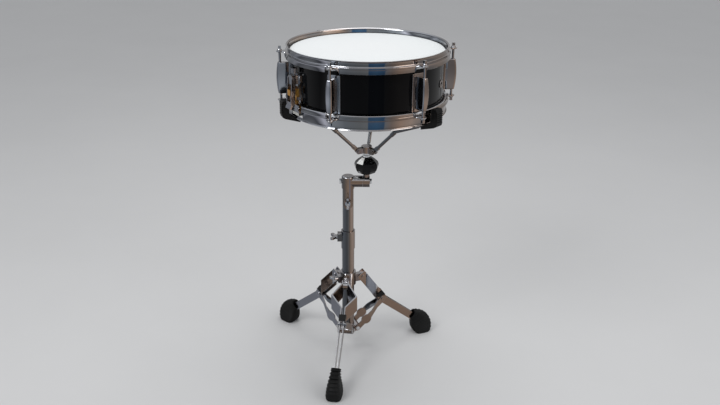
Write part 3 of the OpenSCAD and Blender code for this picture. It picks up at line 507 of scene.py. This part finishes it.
# Sideways distance from a rod to where its ear starts to fall away, and to where it ends
EAR_FLAT, EAR_END = 12.0, 17.5
EAR_HEIGHT = -3.4
EAR_CURL = 1.4
# Half the angle of the snare gates, and where their sides end
GATE_HALF, GATE_END = 7.2, 8.1
# Turn from one ring of the hoop to the next near its ears and gates, and elsewhere
FINE_TURN, COARSE_TURN = 0.25, 1.0


def lowered(section, extra):
    """The section with its shelf and a shorter skirt lower by an extra height."""
    if extra < 1:
        return section
    top = section[FIRST_SKIRT_POINT][1]
    out = []
    for i, (r, z) in enumerate(section):
        if i >= FIRST_SKIRT_POINT:
            z = top + (z - top) * (1 - SKIRT_SHORTER)
        out.append((r, z - extra if i >= FIRST_SHELF_POINT else z))
    return out


def thicken(line, t):
    """A closed outline around a middle line, with rounded ends."""
    left, right = [], []
    for i, p in enumerate(line):
        a = line[max(i - 1, 0)]
        b = line[min(i + 1, len(line) - 1)]
        d = Vector((b[0] - a[0], b[1] - a[1]))
        d = d.normalized() if d.length > 1e-6 else Vector((0, -1))
        nrm = Vector((-d.y, d.x)) * (t / 2)
        left.append((p[0] + nrm.x, p[1] + nrm.y))
        right.append((p[0] - nrm.x, p[1] - nrm.y))
    ends = []
    for p, q in ((line[-1], line[-2]), (line[0], line[1])):
        d = Vector((p[0] - q[0], p[1] - q[1])).normalized() * (t * 0.42)
        ends.append((p[0] + d.x, p[1] + d.y))
    return left + [ends[0]] + right[::-1] + [ends[1]]


def ear_reach(offset):
    """How far the ear reaches beyond the shell at a sideways offset from its rod."""
    tip_r = 7.6
    tip = ROD_REACH + math.sqrt(max(0.0, tip_r ** 2 - offset ** 2)) if abs(offset) < tip_r else 0
    slope = lerp(23.5, 10.8, smoothstep(3.0, 15.0, abs(offset)))
    return max(slope, tip)


def hoop_line(azimuth, section, extra, gates):
    """The section's middle line at an azimuth, turned out at an ear and cut back at a gate."""
    ear_mid = 15
    offset = math.radians(nearest(azimuth, LUG_AZ)) * (SHELL_R + ear_mid)
    ear = 1 - smoothstep(EAR_FLAT, EAR_END, offset)
    line = []
    for i, (r, z) in enumerate(section):
        if i >= FIRST_EAR_POINT:
            k = (i - FIRST_EAR_POINT + 1) / (len(section) - FIRST_EAR_POINT)
            flat_r = lerp(8.6, ear_reach(offset), k)
            flat_z = EAR_HEIGHT - extra
            curl = math.sin(math.pi * ear) * EAR_CURL * k
            r, z = lerp(r, flat_r, ear) + curl, lerp(z, flat_z, ear)
        line.append((r, z))
    cut = 1 - smoothstep(GATE_HALF, GATE_END, nearest(azimuth, gates))
    if cut > 0:
        low = lerp(-17.5 - extra, RISE - 5.6, cut)
        line = [(lerp(r, 4.5, cut * smoothstep(2, -1, z)) if z < low else r, max(z, low - 0.02 * i))
                for i, (r, z) in enumerate(line)]
    return line


def hoop(name, node, gates, mirrored, extra=0.0):
    """A pressed hoop: its section carried around the shell, finer near the ears and gates."""
    section = lowered(SECTION, extra)
    rings = []
    azimuth = -180.0
    while azimuth < 180.0 - 1e-6:
        outline = thicken(hoop_line(azimuth, section, extra, gates), SHEET)
        rings.append([at(azimuth, SHELL_R + r, 0, -DEPTH - z if mirrored else z) for r, z in outline])
        fine = nearest(azimuth, LUG_AZ) < 7 or 6 < nearest(azimuth, gates) < 9.5
        azimuth += FINE_TURN if fine else COARSE_TURN
    shape = Shape()
    shape.loft(rings, closed=True)
    make(name, shape, MAT["hoop"], "drum", "hoop_chrome", node, 50)


hoop("batter_hoop_pressed", "batter_hoop", [], False)
hoop("snare_hoop_pressed", "snare_side_hoop", [THROW_AZ, THROW_AZ + 180], True, SNARE_COLLAR)


# ------------------------------------------------------------------ lug casings

def rounded_plate(shape, azimuth, z_mid, width, height, corner, depth):
    """A plate on the shell with rounded corners and a softened outer edge."""
    clear = 0.15
    outline = []
    for cx, cz, start_angle in ((1, 1, 0), (-1, 1, 90), (-1, -1, 180), (1, -1, 270)):
        for k in range(7):
            a = math.radians(start_angle + 15 * k)
            outline.append((cx, cz, math.cos(a), math.sin(a)))
    rings = []
    for level, shrink in ((None, 0.0), (depth - 0.7, 0.0), (depth - 0.2, 0.25), (depth, 0.9)):
        ring = []
        for cx, cz, c, sn in outline:
            x = cx * (width / 2 - corner) + (corner - shrink) * c
            z = cz * (height / 2 - corner) + (corner - shrink) * sn
            r = math.sqrt((SHELL_R + clear) ** 2 - x * x) if level is None else SHELL_R + level
            ring.append(at(azimuth, r, x, z_mid + z))
        rings.append(ring)
    shape.loft(rings)


def box_ray(angle, half, low, high, corner, centre):
    """Where a ray from a centre meets a rounded rectangle, as x and depth, by halving steps."""
    farthest, halvings = 60.0, 26
    d = (math.cos(angle), math.sin(angle))

    def inside(t):
        x, y = d[0] * t, centre + d[1] * t
        qx = abs(x) - (half - corner)
        mid = (low + high) / 2
        qy = abs(y - mid) - ((high - low) / 2 - corner)
        outer = math.hypot(max(qx, 0), max(qy, 0)) + min(max(qx, qy), 0)
        return outer < corner

    a, b = 0.0, farthest
    for _ in range(halvings):
        m = (a + b) / 2
        a, b = (m, b) if inside(m) else (a, m)
    return d[0] * a, centre + d[1] * a


def lugs():
    """Six tube lugs, each a bellied body bored for its rods on a plate against the shell."""
    shape = Shape()
    points, half_h, bore_r = 48, 36.0, 4.35
    levels = [-half_h + 0.5] + [half_h * (k / 14) for k in range(-13, 14)] + [half_h - 0.5]
    for azimuth in LUG_AZ:
        z_mid = -DEPTH / 2
        rounded_plate(shape, azimuth, z_mid, 30, 84.5, 2.5, 3.0)

        def ring(z, shrink=0.0):
            t = z / half_h
            half = 7.6 - 1.9 * t * t - shrink
            high = 31.4 - 3.5 * t * t - shrink
            corner = min(3.4, half - 0.3)
            spots = [box_ray(2 * math.pi * j / points, half, 2.4, high, corner, ROD_REACH)
                     for j in range(points)]
            return [at(azimuth, SHELL_R + y, x, z_mid + z) for x, y in spots]

        def hole(z):
            return [at(azimuth, SHELL_R + ROD_REACH + bore_r * math.sin(2 * math.pi * j / points),
                       bore_r * math.cos(2 * math.pi * j / points), z_mid + z) for j in range(points)]

        rings = [hole(-half_h + 7), hole(-half_h + 0.3), ring(-half_h, 0.7), ring(-half_h + 0.12, 0.3)]
        rings += [ring(z) for z in levels]
        rings += [ring(half_h - 0.12, 0.3), ring(half_h, 0.7), hole(half_h - 0.3), hole(half_h - 7)]
        shape.loft(rings)
    make("lug_casings_plated", shape, MAT["chrome"], "drum", "chrome", "lug_casings", 38)


lugs()


# ------------------------------------------------------------------ rubber feet

def circle_hit(origin, angle, centre, radius):
    """Distance from origin along an angle to the far side of a circle."""
    d = Vector((math.cos(angle), math.sin(angle)))
    o = Vector(origin) - Vector(centre)
    b = o.dot(d)
    return -b + math.sqrt(max(0.0, b * b - o.dot(o) + radius * radius))


def foot(side):
    """A boot lofted on planes that fan from the floor to its mouth, with ribs around it."""
    azimuth = LEG_AZ[side]
    fan_r = 127.0
    mouth_angle = math.radians(44.5)
    heel, heel_r = (194.0, 18.0), 51.6
    sole_half, mouth_half = 20.6, 12.6
    steps, ribs, points = 84, 9, 40
    rib_depth = 3.0
    rings = []

    def section(angle, shrink, plane):
        """A ring as wide as the boot is at an angle of the fan, laid on a plane of the fan."""
        t = angle / mouth_angle
        far = circle_hit((fan_r, 0.0), angle, heel, heel_r - shrink)
        near = lerp(69.0, 72.6, t) - 8.0 * math.sin(math.pi * min(1, t * 1.15)) + shrink
        half = lerp(sole_half, mouth_half, smoothstep(0.05, 1.0, t)) - shrink
        if t < 0.06:
            squeeze = 1.6 * (1 - t / 0.06)
            far -= squeeze
            near += squeeze
            half -= squeeze
        mid, reach = (near + far) / 2, (far - near) / 2
        ring = []
        for j in range(points):
            u = 2 * math.pi * j / points
            power = 0.62 if math.cos(u) > 0 else 0.42
            cx = math.copysign(abs(math.cos(u)) ** power, math.cos(u))
            cy = math.copysign(abs(math.sin(u)) ** 0.62, math.sin(u))
            along = mid + reach * cx
            x = half * cy
            r = fan_r + along * math.cos(plane)
            z = along * math.sin(plane)
            ring.append(at(azimuth, r, x, z + FLOOR_Z / MM, COLUMN))
        return ring

    for i in range(steps + 1):
        t = i / steps
        angle = mouth_angle * t
        phase = (t * ribs) % 1.0
        groove = smoothstep(0.0, 0.22, phase) * (1 - 0.9 * max(0.0, phase - 0.35) / 0.65)
        shrink = rib_depth * (1 - groove) if 0.05 < t < 0.985 else 0.4
        rings.append(section(angle, shrink, angle))
    # The mouth's lip, then a short way back down inside it
    rings.append(section(mouth_angle, 2.6, mouth_angle + 0.002))
    rings.append(section(mouth_angle * 0.90, 3.2, mouth_angle * 0.90))
    shape = Shape()
    shape.loft(rings)
    make(side + "_foot_boot", shape, MAT["rubber"], side + "_limb", "rubber", side + "_foot", 40)


for side in LEG_AZ:
    foot(side)


# ------------------------------------------------------------------ basket grips

def grip(side):
    """A moulded rubber L with recessed sides, rounded edges and ribs up its back."""
    azimuth = ARM_AZ[side]
    low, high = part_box(side + "_grip")
    top, bottom = high.z / MM, low.z / MM
    under = -DEPTH - RISE - 0.2
    inner = SHELL_R + 12.7
    toe_r, rib_r, groove_r = 165.3, 207.9, 206.2
    ribs, half = 6, 10.8
    back = []
    back_top, back_low = top - 4.0, bottom + 20.5
    for k in range(ribs):
        z = lerp(back_low, back_top, (k + 0.5) / ribs)
        step = (back_top - back_low) / ribs
        back += [(rib_r, z - step * 0.42), (rib_r, z + step * 0.10), (groove_r, z + step * 0.20),
                 (groove_r, z + step * 0.48)]
    outline = [(toe_r, bottom + 0.3), (200, bottom + 10.7), (206, bottom + 14.2)] + back
    outline += [(204.6, top - 0.2), (inner + 2.5, top - 0.2), (inner + 0.1, top - 3), (inner + 0.1, under),
                (178, under), (toe_r, bottom + 11.3)]
    bm = bmesh.new()
    rings = []
    for x in (-half, half):
        rings.append([bm.verts.new(at(azimuth, r, x, z)) for r, z in outline])
    sides = [bm.faces.new(rings[0]), bm.faces.new(list(reversed(rings[1])))]
    n = len(outline)
    for j in range(n):
        bm.faces.new((rings[0][j], rings[0][(j + 1) % n], rings[1][(j + 1) % n], rings[1][j]))
    bmesh.ops.recalc_face_normals(bm, faces=bm.faces)
    bmesh.ops.inset_individual(bm, faces=sides, thickness=2.2 * MM, depth=-1.3 * MM)
    mesh = bpy.data.meshes.new(side + "_grip_rubber")
    bm.to_mesh(mesh)
    bm.free()
    shade_smooth(mesh)
    obj = place(side + "_grip_rubber", mesh, MAT["rubber"], side + "_claw", "rubber", side + "_grip")
    edges = obj.modifiers.new("edges", "BEVEL")
    edges.limit_method = "ANGLE"
    edges.angle_limit = math.radians(35)
    edges.width = 0.6 * MM
    edges.segments = 2
    obj.modifiers.new("even", "WEIGHTED_NORMAL")


for side in ARM_AZ:
    grip(side)


# ------------------------------------------------------------------ basket nut

def nut():
    """A moulded nut with nine lobes and flat facets between them."""
    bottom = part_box("basket_nut")[0].z / MM
    bore_r = 5.2
    # Radius and height from its foot to its top
    profile = [(bore_r, 0.0), (16.4, 0.0), (23.0, 3.4), (27.8, 10.5), (30.0, 18.0), (30.2, 22.5),
               (27.6, 29.0), (21.0, 35.4), (12.6, 41.4), (bore_r, 41.4)]
    points = 18
    rings = []
    for k, (r, z) in enumerate(profile):
        groove = 0.93 if 1 < k < 8 else 0.985
        ring = []
        for j in range(points):
            lobe = groove if j % 2 == 0 and r > bore_r else 1.0
            ring.append(at(360 * j / points, r * lobe, 0, bottom + z))
        rings.append(ring)
    shape = Shape()
    shape.loft(rings, caps=False)
    # The bore joins the last ring to the first
    inner = len(shape.verts) - points
    shape.faces += [(inner + j, inner + (j + 1) % points, (j + 1) % points, j)
                    for j in range(points)]
    make("basket_nut_moulded", shape, MAT["plastic"], "nut", "black_plastic", "basket_nut", 8)


nut()


# ------------------------------------------------------------------ snares

def tube(shape, path, radius, sides):
    """A round tube along a path, with a radius in metres."""
    turns = [2 * math.pi * k / sides for k in range(sides)]
    rings = []
    last = None
    for i, p in enumerate(path):
        a, b = path[max(i - 1, 0)], path[min(i + 1, len(path) - 1)]
        d = (b - a).normalized()
        u = d.orthogonal().normalized() if last is None else (last - d * last.dot(d)).normalized()
        last = u
        v = d.cross(u)
        rings.append([p + (u * math.cos(t) + v * math.sin(t)) * radius for t in turns])
    shape.loft(rings)


def snares():
    """Twenty coiled wires side by side under the lower head."""
    low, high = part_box("snare_wires")
    z = (low.z + high.z) / 2 / MM
    count, pitch, half = 20, 1.95, 155.5
    coil, wire, turn = 0.62, 0.24, 2.2
    points_per_turn = 7
    steps = int(2 * half / turn * points_per_turn)
    shape = Shape()
    for i in range(count):
        x = (i - (count - 1) / 2) * pitch
        path = []
        for k in range(steps + 1):
            s = -half + 2 * half * k / steps
            u = 2 * math.pi * s / turn + i
            path.append(at(THROW_AZ, s, x + coil * math.cos(u), z + coil * math.sin(u)))
        tube(shape, path, wire * MM, 4)
    make("snare_coils", shape, MAT["wire"], "snares", "snare_steel", "snare_wires", 60)


snares()


# ------------------------------------------------------------------ floor, light, camera

def stage_floor():
    """A pale round floor that reaches the horizon on every side."""
    m, nt, bsdf = start("floor_paint")
    co = object_coords(nt)
    cloud = noise(nt, 2.2, 4, 0.6, co)
    nt.links.new(mix(nt, cloud, (0.60, 0.60, 0.60), (0.64, 0.64, 0.64)), bsdf.inputs["Base Color"])
    bsdf.inputs["Roughness"].default_value = 0.85
    bump(nt, bsdf, noise(nt, 90, 4, 0.6, co), 0.05, 0.001)
    mesh = bpy.data.meshes.new("floor")
    points, edge_m = 96, 60.0
    turns = [2 * math.pi * k / points for k in range(points)]
    verts = [(edge_m * math.cos(t), edge_m * math.sin(t), FLOOR_Z) for t in turns]
    mesh.from_pydata(verts, [], [list(range(points))])
    mesh.materials.append(m)
    obj = bpy.data.objects.new("floor", mesh)
    bpy.context.scene.collection.objects.link(obj)


stage_floor()


def soft_light(name, position, target, size, power):
    """A soft panel of light: place, aim and size in metres, power in watts."""
    data = bpy.data.lights.new(name, "AREA")
    data.shape = "RECTANGLE"
    data.size, data.size_y = size
    data.energy = power
    obj = bpy.data.objects.new(name, data)
    obj.location = position
    obj.rotation_euler = (Vector(target) - Vector(position)).to_track_quat("-Z", "Y").to_euler()
    bpy.context.scene.collection.objects.link(obj)


soft_light("key", (-1.6, -1.5, 1.7), (0, 0, -0.2), (1.2, 1.2), 26)
soft_light("fill", (1.9, -1.2, 0.9), (0, 0, -0.3), (1.4, 1.6), 12)
soft_light("top", (0.2, 0.5, 2.0), (0, 0, 0), (1.6, 1.2), 16)

# An even pale room lights the object; beyond the floor the camera sees the far floor's own colour
LIGHT_ROOM = (0.54, 0.548, 0.563)
FAR_FLOOR = (0.335, 0.34, 0.35)
world = bpy.data.worlds.new("studio")
world.use_nodes = True
sky = world.node_tree
ray = sky.nodes.new("ShaderNodeLightPath")
seen = mix(sky, ray.outputs["Is Camera Ray"], LIGHT_ROOM, FAR_FLOOR)
sky.links.new(seen, sky.nodes["Background"].inputs["Color"])
bpy.context.scene.world = world

# Camera in the object's frame: place in metres; downward pitch, yaw and roll in radians; lens in mm
CAMERA_PLACE = Vector((0, -1.7217, 0.3697))
PITCH, YAW, ROLL = 0.4132, 0.0089, 0.0053
LENS, SENSOR_WIDTH = 37.79, 36
forward = Vector((-math.sin(YAW) * math.cos(PITCH), math.cos(YAW) * math.cos(PITCH), -math.sin(PITCH)))
level_right = Vector((math.cos(YAW), math.sin(YAW), 0))
level_up = level_right.cross(forward)
right = level_right * math.cos(ROLL) + level_up * math.sin(ROLL)
up = right.cross(forward)
camera_data = bpy.data.cameras.new("camera")
camera_data.lens = LENS
camera_data.sensor_width = SENSOR_WIDTH
camera = bpy.data.objects.new("camera", camera_data)
camera.matrix_world = Matrix((
    (right.x, up.x, -forward.x, CAMERA_PLACE.x),
    (right.y, up.y, -forward.y, CAMERA_PLACE.y),
    (right.z, up.z, -forward.z, CAMERA_PLACE.z),
    (0, 0, 0, 1),
))
bpy.context.scene.collection.objects.link(camera)
bpy.context.scene.camera = camera
bpy.context.scene.view_settings.view_transform = "Standard"
